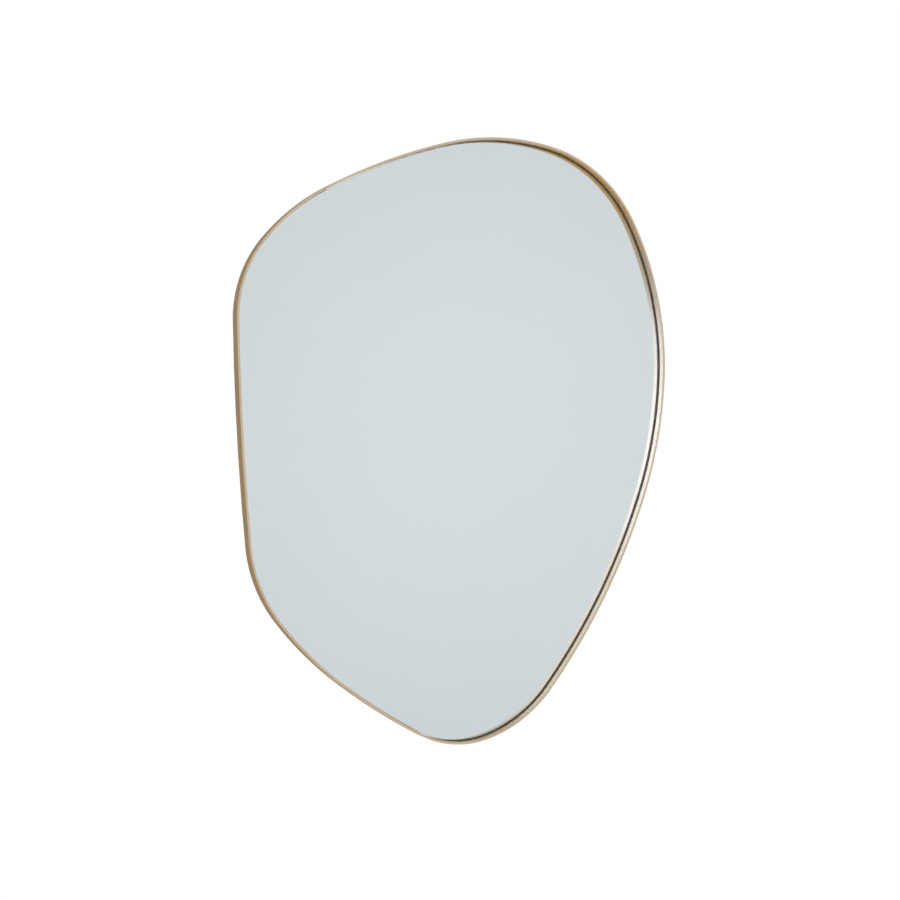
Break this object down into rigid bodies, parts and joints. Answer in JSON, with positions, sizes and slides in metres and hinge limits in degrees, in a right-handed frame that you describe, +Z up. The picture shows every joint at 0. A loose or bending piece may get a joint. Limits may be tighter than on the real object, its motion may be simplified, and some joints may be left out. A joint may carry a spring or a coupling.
{
  "type": "irregular wall mirror",
  "caption": "Wall mirror of irregular pebble outline, its pane set back in a slim hoop of brass-finished flat bar, hung by D rings on its back.",
  "frame": {"origin": "on the wall plane, midway between the two wall hooks, at the height where the hooks touch the inside of the raised D rings", "axes": "+X to the right seen from the front, +Y from the room into the wall, +Z up; the pane faces -Y"},
  "size_m": [0.8374, 0.0315, 1.0861],
  "materials": {
    "brass_finish": "satin brushed, champagne brass",
    "mirror_pane": "silvered float glass, polished",
    "black_board": "matt black faced fibreboard",
    "zinc_steel": "bright zinc plated",
    "foam_tape": "white foam tape",
    "bumper_rubber": "matt black rubber"
  },
  "bodies": {
    "root": {"frame_band": "brass_finish", "mirror_glass": "mirror_pane", "backing_board": "black_board", "lug_upper_right": "brass_finish", "lug_top": "brass_finish", "lug_upper_left": "brass_finish", "lug_left": "brass_finish", "lug_lower_left": "brass_finish", "lug_bottom": "brass_finish", "lug_lower_right": "brass_finish", "lug_right": "brass_finish", "lug_screws": "zinc_steel", "hanger_plate_left": "brass_finish", "hanger_plate_right": "brass_finish", "hanger_strap_left": "zinc_steel", "hanger_strap_right": "zinc_steel", "hanger_screws": "zinc_steel", "tape_strip_1": "foam_tape", "tape_strip_2": "foam_tape", "tape_strip_3": "foam_tape", "tape_strip_4": "foam_tape", "tape_strip_5": "foam_tape", "bumper_upper_right": "bumper_rubber", "bumper_upper_left": "bumper_rubber", "bumper_lower_left": "bumper_rubber", "bumper_lower_right": "bumper_rubber"},
    "ring_left": {"hanger_ring_left": "zinc_steel"},
    "ring_right": {"hanger_ring_right": "zinc_steel"}
  },
  "joints": [
    {"name": "ring_left_swing", "type": "hinge", "parent": "root", "child": "ring_left", "pos_m": [-0.38, -0.00392, -0.0175], "axis": [1, 0, 0], "range_deg": [0, 179]},
    {"name": "ring_right_swing", "type": "hinge", "parent": "root", "child": "ring_right", "pos_m": [0.38, -0.00392, -0.0175], "axis": [1, 0, 0], "range_deg": [0, 179]}
  ]
}
